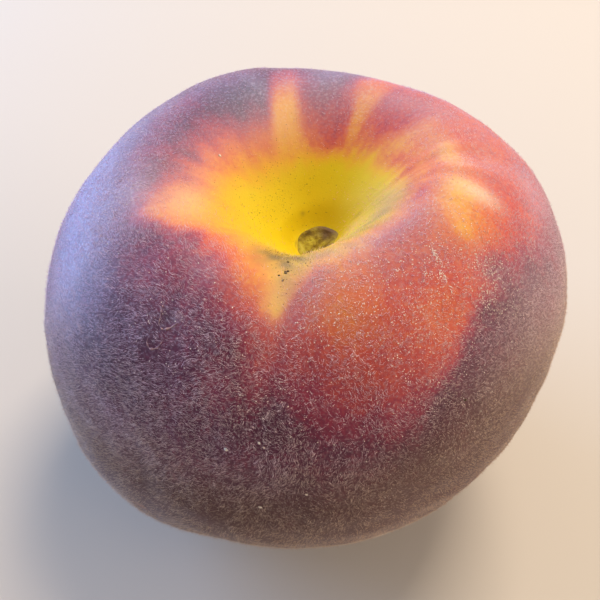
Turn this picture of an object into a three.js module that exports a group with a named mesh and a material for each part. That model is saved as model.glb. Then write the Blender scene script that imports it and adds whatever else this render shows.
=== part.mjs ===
// A whole ripe peach standing on its base: a squat, slightly lopsided fruit with a deep
// funnel at the stem end, the round scar at the bottom of the funnel where the stem let go,
// and a shallow seam that runs from the funnel down the front between two full cheeks.
//
// Millimetres, +Z up. The seam side is the front and faces -Y, +X is the fruit's right.
// The origin is on the ground, under the middle of the fruit's outline.
// Azimuth 0 is the front, 90 the right, 180 the back. Elevation 90 is straight up.
import * as THREE from 'three';
import { mergeVertices } from 'three/addons/utils/BufferGeometryUtils.js';

// ---- driving dimensions -------------------------------------------------------------

// The plain body: a rounded solid about a core point inside the flesh.
const HALF_WIDTH = 39.0;
const HALF_LENGTH = 35.2;
const HEIGHT_ABOVE_CORE = 36.0;
const DEPTH_BELOW_CORE = 33.5;
const SHOULDER_FULLNESS = 2.39; // 2 is a plain ellipsoid, more is squarer
const BASE_FULLNESS = 2.12;
const LEAN_RIGHT = 0.07; // sideways travel for each millimetre of height
const LEAN_BACK = 0.11;
const STEM_TILT_RIGHT = 0.04; // the funnel's axis leans a little to the front and right
const STEM_TILT_BACK = -0.06;

// Swellings (height above 0) and flattened places (height below 0) of the skin.
const CHEEKS = [
  { azimuth: -52, elevation: -32, spread: 15, height: 2.1 }, // corner low on the left
  { azimuth: -5, elevation: -42, spread: 20, height: -0.8 }, // flat place low in front
  { azimuth: -25, elevation: 20, spread: 25, height: -1.6 }, // flat run beside the seam
  { azimuth: 60, elevation: 60, spread: 14, height: 2.2 }, // crest of the right cheek
  { azimuth: 62, elevation: -35, spread: 22, height: -1.7 }, // tuck low on the right
  { azimuth: -100, elevation: -10, spread: 28, height: 2.0 }, // full left flank
  { azimuth: -100, elevation: 45, spread: 24, height: -1.6 }, // slope above it
  { azimuth: 150, elevation: 15, spread: 28, height: -2.5 }, // flat back on the right
  { azimuth: -150, elevation: 15, spread: 28, height: 2.6 }, // full back on the left
];

// Folds that run outwards from the stem. `turn` bends a fold sideways by so many degrees
// over the quarter turn from the stem to the waist.
const FOLDS = [
  { azimuth: -27, turn: 22, depth: 1.7, width: 4.6, middle: 28, reach: 18 }, // the seam
  { azimuth: 93, turn: 0, depth: 0.7, width: 3.0, middle: 32, reach: 14 }, // fold on the right
];

// The funnel is a broad dish with a steeper throat in it, and the scar is a small flat pit
// at the bottom of the throat. Dish and throat are wider on one side.
const DISH = { depth: 6.4, width: 33.5, power: 2.0, wideSide: -36, lopsided: 0.08 };
const THROAT = { depth: 12.9, width: 25.9, power: 4.5, wideSide: -126, lopsided: 0.3 };
const SCAR = { depth: 1.5, width: 14.2, power: 8.0, wideSide: 0, lopsided: 0.0 };

const FOOT_CUT = 1.3; // how much of the rounded base is pressed flat

const COLUMNS = 84; // facets round the fruit
const ROWS = 40; // facets from the stem to the foot

// ---- shape ---------------------------------------------------------------------------

const rad = THREE.MathUtils.degToRad;

function direction(azimuth, elevation) {
  const a = rad(azimuth);
  const e = rad(elevation);
  return new THREE.Vector3(Math.sin(a) * Math.cos(e), -Math.cos(a) * Math.cos(e), Math.sin(e));
}

// Radius of the plain body along a unit direction, with the fullness changing over
// smoothly between the shoulders and the base.
function bodyRadius(d) {
  const up = 1 / (1 + Math.exp(-8 * d.z));
  const n = BASE_FULLNESS + (SHOULDER_FULLNESS - BASE_FULLNESS) * up;
  const level = Math.hypot(d.x / HALF_WIDTH, d.y / HALF_LENGTH);
  const upright = Math.abs(d.z) / (d.z > 0 ? HEIGHT_ABOVE_CORE : DEPTH_BELOW_CORE);
  return Math.pow(Math.pow(level, n) + Math.pow(upright, n), -1 / n);
}

function cheekHeight(d) {
  let height = 0;
  for (const cheek of CHEEKS) {
    const angle = THREE.MathUtils.radToDeg(d.angleTo(direction(cheek.azimuth, cheek.elevation)));
    height += cheek.height * Math.exp(-0.5 * Math.pow(angle / cheek.spread, 2));
  }
  return height;
}

// Depth of the folds at an angle `down` from the stem, in degrees, and an azimuth.
function foldDepth(down, azimuth, radius) {
  let depth = 0;
  for (const fold of FOLDS) {
    const beside = rad(azimuth - fold.azimuth - fold.turn * (down / 90));
    const sideways = Math.sin(rad(down)) * radius * Math.sin(beside);
    const sameSide = Math.pow(Math.max(Math.cos(beside), 0), 2);
    const across = sameSide * Math.exp(-Math.pow(sideways / fold.width, 2));
    depth += fold.depth * across * Math.exp(-Math.pow((down - fold.middle) / fold.reach, 2));
  }
  return depth;
}

function hollowDepth(hollow, down, azimuth) {
  const width = hollow.width * (1 + hollow.lopsided * Math.cos(rad(azimuth - hollow.wideSide)));
  return hollow.depth * Math.exp(-Math.pow(down / width, hollow.power));
}

// The skin at `down` degrees from the stem towards the foot, on the given azimuth.
function skinPoint(down, azimuth) {
  const d = direction(azimuth, 90 - down);
  const nearStem = (1 + Math.cos(rad(down))) / 2;
  d.x += STEM_TILT_RIGHT * nearStem;
  d.y += STEM_TILT_BACK * nearStem;
  d.normalize();
  let radius = bodyRadius(d) + cheekHeight(d);
  radius -= foldDepth(down, azimuth, radius);
  for (const hollow of [DISH, THROAT, SCAR]) {
    radius -= hollowDepth(hollow, down, azimuth);
  }
  const point = d.multiplyScalar(radius);
  point.x += LEAN_RIGHT * point.z;
  point.y += LEAN_BACK * point.z;
  return point;
}

// A closed ball of facets, its rows drawn together towards the stem, pushed out to the skin.
function peachGeometry() {
  const ball = new THREE.SphereGeometry(1, COLUMNS, ROWS);
  ball.deleteAttribute('normal');
  ball.deleteAttribute('uv');
  ball.rotateX(Math.PI / 2);
  const geometry = mergeVertices(ball);
  const position = geometry.attributes.position;
  const v = new THREE.Vector3();
  for (let i = 0; i < position.count; i += 1) {
    v.fromBufferAttribute(position, i);
    const t = Math.acos(THREE.MathUtils.clamp(v.z, -1, 1)) / Math.PI;
    const down = 180 * (0.55 * t + 0.45 * t * t);
    const azimuth = THREE.MathUtils.radToDeg(Math.atan2(v.x, -v.y));
    const point = skinPoint(down, azimuth);
    position.setXYZ(i, point.x, point.y, point.z);
  }
  geometry.computeBoundingBox();
  const box = geometry.boundingBox.clone();
  const ground = box.min.z + FOOT_CUT;
  for (let i = 0; i < position.count; i += 1) {
    position.setZ(i, Math.max(position.getZ(i), ground));
  }
  geometry.translate(-(box.min.x + box.max.x) / 2, -(box.min.y + box.max.y) / 2, -ground);
  geometry.computeVertexNormals();
  return geometry;
}

const peach = new THREE.Mesh(
  peachGeometry(),
  new THREE.MeshStandardMaterial({ color: 0xa8483f, roughness: 0.85, metalness: 0 }),
);
peach.name = 'peach';

const part = new THREE.Group();
part.add(peach);

export default part;
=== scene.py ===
# %% [markdown]
# # A ripe peach in cells
#
# The real thing is a whole peach standing on its base with the stem end up. Its skin runs
# from yellow in the funnel where the stem sat, through orange and coral, to wine and plum on
# the cheeks that faced the sun, and all of it outside the funnel is covered in short down.
#
# Each step below first says what a piece or a finish is on the fruit and how it could be
# made, and then makes it. Shapes are worked out with numpy as surfaces of two parameters.
# Lengths are in metres unless a name ends in _MM.

import math

import bpy
import numpy as np
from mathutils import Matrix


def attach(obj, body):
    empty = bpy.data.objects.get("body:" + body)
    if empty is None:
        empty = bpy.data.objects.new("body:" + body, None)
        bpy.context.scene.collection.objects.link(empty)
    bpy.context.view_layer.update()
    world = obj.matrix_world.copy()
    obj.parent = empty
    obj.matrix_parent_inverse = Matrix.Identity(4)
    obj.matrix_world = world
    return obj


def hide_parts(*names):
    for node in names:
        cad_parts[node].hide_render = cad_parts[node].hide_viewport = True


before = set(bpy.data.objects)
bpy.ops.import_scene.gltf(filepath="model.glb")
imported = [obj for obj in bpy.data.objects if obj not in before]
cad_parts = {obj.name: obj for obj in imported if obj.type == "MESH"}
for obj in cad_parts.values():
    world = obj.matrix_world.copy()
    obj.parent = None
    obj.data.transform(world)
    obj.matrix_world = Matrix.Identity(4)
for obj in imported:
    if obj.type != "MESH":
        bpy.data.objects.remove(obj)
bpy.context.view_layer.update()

MM = 0.001
BODY = "root"

# %% [markdown]
# ## The view
#
# The fruit is seen from its front and above, from about a hand's width away, so the near
# cheeks look larger than the far rim. A camera could be aimed with a constraint, but plain
# numbers say more: how steeply it looks down, how far off it stands, and where it points.

# %% Camera
LOOK_DOWN = math.radians(52.0)
LENS_WIDTH = 36.0  # millimetres of sensor
FOCAL = 39.0
CAMERA_PLACE = np.array([0.75, -64.40, 117.04]) * MM

camera_data = bpy.data.cameras.new("view_from_front")
camera_data.sensor_width = LENS_WIDTH
camera_data.lens = FOCAL
camera_data.clip_start = 0.005
camera = bpy.data.objects.new("view_from_front", camera_data)
camera.location = CAMERA_PLACE
camera.rotation_euler = (math.pi / 2 - LOOK_DOWN, 0.0, 0.0)
bpy.context.scene.collection.objects.link(camera)
bpy.context.scene.camera = camera
print("camera looks down", round(math.degrees(LOOK_DOWN)), "degrees from", CAMERA_PLACE)

# %% [markdown]
# ## The shape of the fruit
#
# A peach is nearly a squashed ball, so its skin can be given as one radius for each direction
# from a core point in the flesh. The alternative, sculpting a mesh, would leave nothing to
# place the down and the colours by. Here the radius is a rounded solid plus a few named
# swellings, less the seam and a fold, less the funnel. Directions are `down`, the angle from
# the stem, and `azimuth`, 0 at the front and 90 on the fruit's right, both in degrees.

# %% Named sizes of the fruit
HALF_WIDTH, HALF_LENGTH = 39.0, 35.2
HEIGHT_ABOVE_CORE, DEPTH_BELOW_CORE = 36.0, 33.5
SHOULDER_FULLNESS, BASE_FULLNESS = 2.39, 2.12
LEAN = (0.07, 0.11)  # sideways and backwards travel for each millimetre of height
STEM_TILT = (0.04, -0.06)
FOOT_CUT = 1.3
MEAN_RADIUS_MM = 37.0  # turns a length on the skin into an angle at the core

# azimuth, elevation, spread in degrees, height in mm
CHEEKS = [
    (-52, -32, 15, 2.1),  # corner low on the left
    (-5, -42, 20, -0.8),  # flat place low in front
    (-25, 20, 25, -1.6),  # flat run beside the seam
    (60, 60, 14, 2.2),  # crest of the right cheek
    (62, -35, 22, -1.7),  # tuck low on the right
    (-100, -10, 28, 2.0),  # full left flank
    (-100, 45, 24, -1.6),  # slope above it
    (150, 15, 28, -2.5),  # flat back on the right
    (-150, 15, 28, 2.6),  # full back on the left
]

# azimuth, turn, depth in mm, width in mm, middle and reach in degrees from the stem
FOLDS = [
    (-27, 22, 1.7, 4.6, 28, 18),  # the seam
    (93, 0, 0.7, 3.0, 32, 14),  # fold on the right
]

# depth in mm, width in degrees, power, wide side, how lopsided
DISH = (6.4, 33.5, 2.0, -36, 0.08)
THROAT = (12.9, 25.9, 4.5, -126, 0.3)
SCAR = (1.5, 14.2, 8.0, 0, 0.0)
print(len(CHEEKS), "swellings,", len(FOLDS), "folds and a funnel", DISH[0] + THROAT[0], "mm deep")


# %% Directions and the radius in each
def directions(azimuth, elevation):
    """Unit vectors. x is sin(azimuth) cos(elevation), y is -cos(azimuth) cos(elevation) and
    z is sin(elevation), so azimuth 0 is the front."""
    a, e = np.radians(azimuth), np.radians(elevation)
    level = np.cos(e)
    return np.stack([np.sin(a) * level, -np.cos(a) * level, np.sin(e) + 0 * a], -1)


def angle_from(d, azimuth, elevation):
    """Angle in degrees between each direction and one named direction."""
    return np.degrees(np.arccos(np.clip(d @ directions(azimuth, elevation), -1, 1)))


def bell(x):
    """exp(-x squared): 1 in the middle, near 0 beyond two."""
    return np.exp(-x * x)


def hollow(size, down, azimuth):
    """Depth of a hollow round the stem: depth times exp(-(down / width) ** power), where the
    width grows and shrinks round the stem with the cosine of the azimuth."""
    depth, width, power, wide_side, lopsided = size
    width = width * (1 + lopsided * np.cos(np.radians(azimuth - wide_side)))
    return depth * np.exp(-((np.abs(down) / width) ** power))


print("the dish 30 degrees from the stem:", round(float(hollow(DISH, 30, 0)), 1), "mm deep")

# %% The skin as a surface of two angles
def skin_mm(down, azimuth):
    """Points of the skin in mm about the core. The direction at (down, azimuth) is tilted a
    little with the stem. Along it goes the radius of a rounded solid,
    (level ** n + upright ** n) ** (-1 / n), plus a bell for each cheek, less the folds and
    hollows. Then the whole leans sideways in proportion to its height."""
    down, azimuth = np.broadcast_arrays(np.asarray(down, float), np.asarray(azimuth, float))
    d = directions(azimuth, 90 - down)
    near_stem = (1 + np.cos(np.radians(down))) / 2
    d = d + near_stem[..., None] * np.array([*STEM_TILT, 0.0])
    d /= np.linalg.norm(d, axis=-1, keepdims=True)

    n = BASE_FULLNESS + (SHOULDER_FULLNESS - BASE_FULLNESS) / (1 + np.exp(-8 * d[..., 2]))
    level = np.hypot(d[..., 0] / HALF_WIDTH, d[..., 1] / HALF_LENGTH)
    half_height = np.where(d[..., 2] > 0, HEIGHT_ABOVE_CORE, DEPTH_BELOW_CORE)
    radius = (level**n + np.abs(d[..., 2] / half_height) ** n) ** (-1 / n)
    for side, elevation, spread, height in CHEEKS:
        radius += height * bell(angle_from(d, side, elevation) / spread / math.sqrt(2))
    folded = np.zeros_like(radius)
    for side, turn, depth, width, middle, reach in FOLDS:
        beside = np.radians(azimuth - side - turn * (down / 90))
        across = bell(np.sin(np.radians(down)) * radius * np.sin(beside) / width)
        same_side = np.clip(np.cos(beside), 0, 1) ** 2
        folded += depth * across * same_side * bell((down - middle) / reach)
    radius = radius - folded
    for size in (DISH, THROAT, SCAR):
        radius = radius - hollow(size, down, azimuth)

    point = d * radius[..., None]
    point[..., 0] += LEAN[0] * point[..., 2]
    point[..., 1] += LEAN[1] * point[..., 2]
    return point


def spread_rows(count):
    """Angles from the stem, 0 to 180, closer together near it: 0.55 t + 0.45 t squared."""
    t = np.linspace(0, 1, count + 1)
    return 180 * (0.55 * t + 0.45 * t * t)


rough = skin_mm(spread_rows(40)[:, None], np.arange(84)[None, :] * 360 / 84)
low, high = rough.reshape(-1, 3).min(0), rough.reshape(-1, 3).max(0)
SHIFT_MM = np.array([(low[0] + high[0]) / 2, (low[1] + high[1]) / 2, low[2] + FOOT_CUT])
print("core stands", round(-SHIFT_MM[2], 1), "mm above the ground")


# %% Small unevenness of the flesh
def waves(d, seed, across_mm, count=24):
    """Smooth noise between about -1 and 1 on directions: a sum of sine waves that run in
    random directions over the fruit, each about across_mm from crest to crest."""
    draw = np.random.default_rng(seed)
    ways = draw.normal(size=(count, 3))
    lengths = np.linalg.norm(ways, axis=1, keepdims=True)
    ways *= (2 * math.pi * MEAN_RADIUS_MM / across_mm) / lengths
    phases = draw.uniform(0, 2 * math.pi, count)
    total = np.zeros(d.shape[:-1])
    for way, phase in zip(ways, phases):
        total += np.sin(d @ way + phase)
    return total / math.sqrt(count)


def uneven_mm(down, azimuth):
    """Swell of the skin in mm: broad lumps all over, faint dimples, and flutes that run
    outwards from the stem on the fruit's right, like the pleats of a curtain."""
    d = directions(azimuth, 90 - down)
    away = 1 - bell(down / 9.0)
    lumps = 0.16 * waves(d, 3, 17) + 0.05 * waves(d, 4, 6)
    turn = np.radians(azimuth)
    flutes = np.sin(turn * 22 + 0.05 * down) + 0.5 * np.sin(turn * 37)
    on_right = bell((azimuth - 88) / 26) * bell((down - 24) / 9)
    return (lumps + 0.16 * flutes * on_right) * away


def skin(down, azimuth):
    """The finished skin in metres: skin_mm, moved along its radius by the unevenness, set
    on the ground and flattened where it stands."""
    point = skin_mm(down, azimuth)
    out = point / np.linalg.norm(point, axis=-1, keepdims=True)
    point = point + out * uneven_mm(*np.broadcast_arrays(down, azimuth))[..., None] - SHIFT_MM
    point[..., 2] = np.maximum(point[..., 2], 0)
    return point * MM


def skin_normals(down, azimuth, step=0.15):
    """Outward unit normals: the cross product of the surface's steps down and around."""
    along = skin(down + step, azimuth) - skin(down - step, azimuth)
    around = skin(down, azimuth + step) - skin(down, azimuth - step)
    n = np.cross(along, around)
    size = np.linalg.norm(n, axis=-1, keepdims=True)
    return n / np.maximum(size, 1e-15), size[..., 0]


test_point = skin(np.array([60.0]), np.array([0.0]))
test_normal, _ = skin_normals(np.array([60.0]), np.array([0.0]))
print("front of the fruit", np.round(test_point / MM, 1), "faces", np.round(test_normal, 2))


# %% [markdown]
# ## Where the colours lie
#
# The blush on a peach isn't painted in rings. The ground colour shows wherever leaves or the
# funnel's own walls kept the sun off, so its edge is a ragged star round the stem, with rays
# over the rim and a notch down the seam. Image textures could carry this, but a field worked
# out from named places stays sharp at any size. It runs from 0, ground yellow, to 1, plum.

# %% Edges between the colours
# azimuth, then the angles from the stem where pure yellow ends, where its orange fringe
# ends and red begins, where the dark sunburn begins, and where it is fully dark
EDGES = [
    (-180, 21, 25.5, 28.5, 38), (-168, 22, 27.5, 30.5, 38), (-150, 22, 29.5, 31, 36.5),
    (-138, 21.5, 29.2, 31.2, 37.5), (-125, 22, 31, 33, 40), (-110, 23.5, 32.5, 34, 41),
    (-95, 24, 33.5, 35.5, 42), (-84, 22, 36, 38, 45), (-76, 21, 38.2, 39.5, 46),
    (-69, 20.5, 36.5, 37.5, 44), (-60, 21, 32.5, 33.5, 40), (-50, 21, 31.5, 33, 42),
    (-40, 20.5, 32, 33.5, 44.5), (-32, 18, 33.2, 35.4, 46.5), (-26, 17, 36, 38.3, 50),
    (-20, 17, 39.5, 42, 58), (-14, 17, 39, 42, 60), (-9, 17, 28.5, 40, 60),
    (-4, 17, 27, 42, 64), (0, 18, 26.5, 45, 67), (15, 18, 24, 50, 72),
    (26, 17, 22.5, 51, 60.5), (31, 16.5, 22, 49.5, 57), (36, 16, 21.5, 45.5, 52),
    (42, 15.5, 21, 41.5, 48), (48, 15, 20.5, 38, 47), (60, 15, 20.5, 39.5, 50),
    (72, 15.5, 20.5, 40, 56), (85, 16.5, 21, 41, 60), (100, 16.5, 21.5, 44, 66),
    (115, 17, 22.5, 48, 68), (130, 18.5, 23.5, 50, 68), (145, 21, 24.5, 48, 64),
    (160, 21.5, 25, 36, 48), (170, 21.5, 25, 30, 40),
]  # fmt: skip

# azimuth at 20 degrees from the stem, its swing by 40 degrees, half width in degrees of
# azimuth at 20 and at 40 degrees, reach in degrees from the stem, the blush left in it
RAYS = [
    (-153.5, -11.5, 14, 5.5, 46, 0.13),
    (160, -1, 0.5, 11, 43, 0.21),
]


def edge(azimuth, which):
    """The angle from the stem of edge 1, 2, 3 or 4: straight runs between the listed
    places, rounded off by averaging over a few degrees."""
    x = np.array([row[0] for row in EDGES], float)
    y = np.array([row[which] for row in EDGES], float)
    total = 0
    for turn in (-3, -1.5, 0, 1.5, 3):
        total = total + np.interp(azimuth + turn, x, y, period=360)
    return total / 5


def side_of(azimuth, middle):
    """Azimuth measured from a named one, between -180 and 180 degrees."""
    return (azimuth - middle + 180) % 360 - 180


def step_up(x):
    """Smooth step from 0 to 1 while x runs from 0 to 1."""
    x = np.clip(x, 0, 1)
    return x * x * (3 - 2 * x)


print("yellow reaches", float(edge(np.array(-22.0), 1)), "degrees down the seam")

# %% Patches of more or less blush
# each is azimuth, angle from the stem, half widths across and down in degrees of the skin,
# and how much darker (or lighter below 0)
DEPTH_PATCHES = [
    # salmon lip of the funnel in front, orange band below it, mauve shoulder of the lobe
    (6, 28, 8, 5, -0.17), (4, 38, 6, 6, -0.2), (24, 25, 9, 3, 0.05),
    # tip of the notch, left wall of the funnel
    (-17, 39, 3, 4, -0.17), (-60, 25, 16, 5, 0.07),
    # glowing middle of the right cheek, and its crest
    (31, 42, 9, 7, -0.11), (14, 42, 6, 6, -0.04), (40, 30, 6, 5, -0.08),
    # orange band beside the fold
    (60, 28, 5, 4.5, -0.25), (51, 32, 2, 3, -0.12), (54, 34.5, 5, 4, -0.2), (54, 43, 4, 3, 0.08),
    # thin mauve fold lines
    (62, 22, 3, 0.8, 0.12), (69, 20.6, 3, 0.7, 0.1), (95, 21, 6, 0.7, 0.06),
    (116, 22.4, 6, 0.8, 0.07), (104, 22, 14, 1.6, 0.06),
    # salmon slope behind the fold, with a pale streak, a pale fan and a line up its back
    (80, 26, 8, 5, -0.14), (68, 31, 2.2, 6, -0.18), (98, 26.5, 7, 2.4, -0.2),
    (96, 36, 12, 9, -0.06), (122, 27, 4, 3, -0.16),
    # plum on the left cheek, and its darker flank
    (-47, 44, 10, 8, -0.14), (-62, 46, 7, 7, -0.06), (-30, 44, 7, 5, 0.05),
    (-24, 56, 8, 6, -0.12), (-62, 66, 18, 16, 0.14),
    # bruises under the scuff and low down
    (-44.4, 48.6, 1.2, 1.6, 0.16), (-41.5, 105.2, 1.8, 1, -0.3),
    # mauve red behind the left of the funnel, red wedges between the rays
    (-112, 43, 22, 4, -0.1), (-149, 36.5, 6, 4, 0.17), (-174, 27, 3, 2.5, 0.08),
    (-172, 37, 3, 4, -0.14), (172, 26.5, 4, 2.5, 0.12),
]  # fmt: skip


def patch_sum(down, azimuth, patches):
    """The named patches added up: amount * bell(across) * bell(along), where across is the
    azimuth from the patch's own, shrunk by sin(down) as meridians close in to the stem."""
    total = np.zeros(np.broadcast(down, azimuth).shape)
    for side, angle, across, along, amount in patches:
        sideways = side_of(azimuth, side) * np.sin(np.radians(down)) / across
        total = total + amount * bell(sideways) * bell((down - angle) / along)
    return total


print(len(DEPTH_PATCHES), "patches of blush")

# %% The blush
FRINGE_CLIMB, RED_CLIMB, DARK_CLIMB = 0.26, 0.2, 0.34
RED_CLIMB_DEGREES = 4


def blush_field(down, azimuth):
    """0 where the ground colour shows and up to 1 at the darkest. It climbs a quarter of the
    way over the orange fringe, late and steeply, some more over the next 4 degrees and the
    most between the dark edges. The edges wander by a slow noise. Then come the named patches
    and the rays, which pull it down to an orange cream."""
    d = directions(azimuth, 90 - down)
    wander = 0.7 * waves(d, 11, 9) + 0.4 * waves(d, 12, 4) + 0.25 * waves(d, 13, 2)
    yellow_ends, red_begins, dark_begins, dark_by = (edge(azimuth, k) for k in (1, 2, 3, 4))
    fringe = (down + wander - yellow_ends) / (red_begins - yellow_ends)
    past_red = (down + wander - red_begins) / RED_CLIMB_DEGREES
    past_dark = (down + 1.5 * wander - dark_begins) / (dark_by - dark_begins)
    blush = FRINGE_CLIMB * np.clip(fringe, 0, 1) ** 2
    blush = blush + RED_CLIMB * step_up(past_red) + DARK_CLIMB * step_up(past_dark)
    blush = blush + step_up(fringe) * patch_sum(down, azimuth, DEPTH_PATCHES)
    for side, swing, near_width, far_width, reach, left in RAYS:
        along = (down - 20) / 20
        width = np.maximum(near_width + (far_width - near_width) * along, 1)
        flat_bell = bell((side_of(azimuth, side + swing * along) / width) ** 2)
        ray = flat_bell * step_up((reach - down) / 14)
        blush = blush + ray * np.minimum(left - blush, 0)
    return np.clip(blush, 0, 1)


probe = blush_field(np.array([5.0, 38.0, 70.0]), np.array([0.0, 44.0, -60.0]))
print("blush in the funnel, on the right cheek and on the left cheek:", np.round(probe, 2))

# %% [markdown]
# Over the blush lies grey down, too fine to see hair by hair. In places it clumps, in others
# it is an even veil. Its light, blue on the left and warm brown below, is painted into its
# colour. Each of these is one more field from 0 to 1, made in the same way, so they can be
# told apart in the material.

# %% Patches of haze and veil
# as above, for how much more haze the down gives where it clumps
HAZE_PATCHES = [
    # crease on the right, shoulder of the lobe (grey with a painted reflection of the light
    # above), right wall of the funnel
    (50, 23, 5, 3, 0.25), (30, 24, 8, 3.5, 0.25), (80, 17, 7, 3, 0.2),
    # grey right flank, paler with painted sheen, and where the dark begins above it
    (95, 45, 16, 14, 0.12), (75, 60, 14, 16, 0.3), (48, 62, 12, 10, 0.25), (28, 76, 12, 8, 0.12),
    (50, 42, 3, 4, 0.4),
    # grey left flank, paler with painted sheen, and the clear plum inside it
    (-75, 64, 12, 18, 0.3), (-62, 46, 8, 8, -0.15), (-45, 53, 5, 4, 0.2),
    # long pale hairs under the notch, frost and rubbed maroon beside them
    (-24, 57, 8, 7, 0.25), (-5, 35, 4, 6, 0.35), (-4, 60, 9, 9, -0.2),
]  # fmt: skip

# and for an even veil of it
VEIL_PATCHES = [
    # pale streak beside the fold, and the salmon slope behind it
    (68, 31, 1.9, 4.6, 0.75), (50, 25, 5, 5, 0.1), (74, 27, 9, 5, 0.15), (84, 33, 8, 4, 0.14),
    (98, 26.5, 7, 2.4, 0.23), (98, 36, 12, 3.5, 0.1), (106, 33, 10, 3.5, 0.13),
    (82, 44, 9, 5, 0.1), (90, 43, 12, 4, 0.15), (122, 27, 4, 2.5, 0.15),
    # back rim, paler with painted sheen
    (128, 31, 8, 3, 0.28), (150, 32, 8, 3, 0.3), (138, 40, 20, 5, 0.2), (178, 36, 8, 6.5, 0.41),
    # right wall of the funnel, palest beside the scar
    (62, 18, 16, 2.2, 0.22), (65, 13.5, 5, 1.6, 0.3),
    # grey shoulder of the lobe, a painted reflection of the light above, and down its right side
    (33, 24.5, 9, 3, 0.25), (38, 31, 7, 5, 0.15), (48, 40, 4, 5, 0.15), (57, 49, 6, 6, 0.12),
    # notch over the seam, pink band beside it, lip of the funnel
    (-22, 30, 7, 4, 0.12), (-17, 37, 4, 5.5, 0.38), (-5, 34, 3, 7, 0.16), (14, 31, 10, 4, 0.14),
    (8, 26, 9, 3, 0.22),
    # bloom rubbed together at the scuff
    (-42.4, 48.3, 0.9, 1.2, 0.3),
    # left rim, paler with painted sheen, and the soft edge of the yellow inside it
    (-100, 54, 26, 11, 0.42), (-77, 65, 12, 11, 0.4), (-86, 42, 9, 5, 0.38),
    (-110, 38, 14, 4, 0.1), (-76, 37, 7, 3, 0.15), (-43, 37.5, 9, 3, 0.18),
    (-95, 27, 20, 6, 0.05), (-100, 33.5, 16, 3, 0.25), (-82, 34.5, 8, 3, 0.2),
    # beside the left ray, and its foot
    (-143, 32.5, 11, 4, 0.24), (-145, 39, 8, 5, 0.2), (-138, 44, 22, 5, 0.1),
    (-154, 38, 3, 4, 0.2), (-161, 31, 8, 4.5, 0.2), (-165, 37, 3, 3, 0.2),
    # right rim, paler with painted sheen
    (92, 50, 14, 10, 0.12), (56, 62, 14, 12, 0.3), (28, 76, 12, 8, 0.08),
]  # fmt: skip


def bloom_field(down, azimuth):
    """How thick the grey down lies: thin in the funnel, thicker on the cheeks, and up to 1
    in the named patches."""
    d = directions(azimuth, 90 - down)
    outside = step_up((down - edge(azimuth, 2) + 2) / 8)
    bloom = 0.5 + 0.1 * waves(d, 21, 13) + 0.08 * waves(d, 22, 5)
    return np.clip(outside * bloom + patch_sum(down, azimuth, HAZE_PATCHES), 0, 1)


def veil_field(down, azimuth):
    """How thick the even veil lies."""
    return patch_sum(down, azimuth, VEIL_PATCHES)


print(len(HAZE_PATCHES), "patches of haze and", len(VEIL_PATCHES), "of veil")

# %% Painted shade and light: green in the funnel, brown below, blue on the left
# as above, for painted blue light on the down
BLUE_LIGHT_PATCHES = [
    (-100, 60, 34, 15, 1.0),
    (-138, 39, 20, 6, 0.6),
    (150, 40, 30, 5, 0.7),
    (88, 46, 16, 7, 0.45),
    (-52, 52, 15, 13, 0.3),
]


def funnel_shade_field(down, azimuth):
    """Painted shade: up to 0.6 deep in the shaded right and back of the funnel, where the yellow
    is darkened to green."""
    side = 0.5 + 0.5 * np.cos(np.radians(azimuth - 104))
    return 0.6 * side**2 * bell(down / 20)


def shade_bounce_brown_field(down, azimuth):
    """Painted shade and warm light reflected from below: how far the darkest skin goes from plum
    to brown, 1 on the underside, and from higher up on the right cheek."""
    start = 70 - 24 * bell(side_of(azimuth, 48) / 42)
    return step_up((down - start) / 24)


def blue_light_field(down, azimuth):
    """Painted blue light: 1 on the fruit's left flank, where the down catches a blue light at a
    grazing angle, and some of it along the back and the right rim."""
    return patch_sum(down, azimuth, BLUE_LIGHT_PATCHES)


left_rim = float(blue_light_field(np.array(60.0), np.array(-100.0)))
print("how blue the left rim is:", round(left_rim, 2))

# %% Thin places and stains
# as above, for where the down is thinner
THIN_PATCHES = [
    (-45, 50, 2.4, 3.6, 0.7),  # the scuff
    (-48, 42, 12, 6, 0.35),
    (100, 30, 26, 12, 0.6),  # right of the funnel and behind it
    (165, 30, 20, 11, 0.5),
    (-120, 34, 22, 9, 0.45),
]

# and for brown stains
STAIN_PATCHES = [
    # grime on the lip, from left to right
    (-30, 28, 6, 3.2, 0.58), (-18, 27.5, 5, 3.5, 0.5), (-16, 33, 2.5, 3.5, 0.35),
    (-8, 25.5, 5, 2.5, 0.2), (2, 24.5, 7, 2.5, 0.42), (22, 20.5, 8, 2.4, 0.4),
    (42, 18.8, 8, 2.2, 0.42), (62, 18, 8, 2.4, 0.32), (85, 17.5, 8, 2.5, 0.22),
    # left and back of the yellow, and round the dark spot on the lip
    (-130, 28, 14, 3.5, 0.14), (-18, 31.6, 0.6, 0.7, 0.5),
    # blotches by the scar
    (-156, 14.8, 1.2, 0.5, 0.45), (94, 14.6, 1.2, 0.6, 0.35), (-95, 9.7, 3, 0.5, 0.5),
    # bruise low on the left
    (-41.5, 105.2, 1.4, 0.8, 0.6),
]  # fmt: skip


def stain_field(down, azimuth):
    """Strength of the brown stains, frayed by a fine noise."""
    d = directions(azimuth, 90 - down)
    return np.clip(patch_sum(down, azimuth, STAIN_PATCHES) * (1 + 0.2 * waves(d, 31, 2)), 0, 1)


print(len(THIN_PATCHES), "thin places and", len(STAIN_PATCHES), "stains")

# %% [markdown]
# ## From numbers to mesh
#
# A closed fruit skin is a grid of rows from pole to pole. The first and last rows are each
# one point, so they become one vertex with a fan of triangles, and the last column joins the
# first, so there is no seam to weld.

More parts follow.
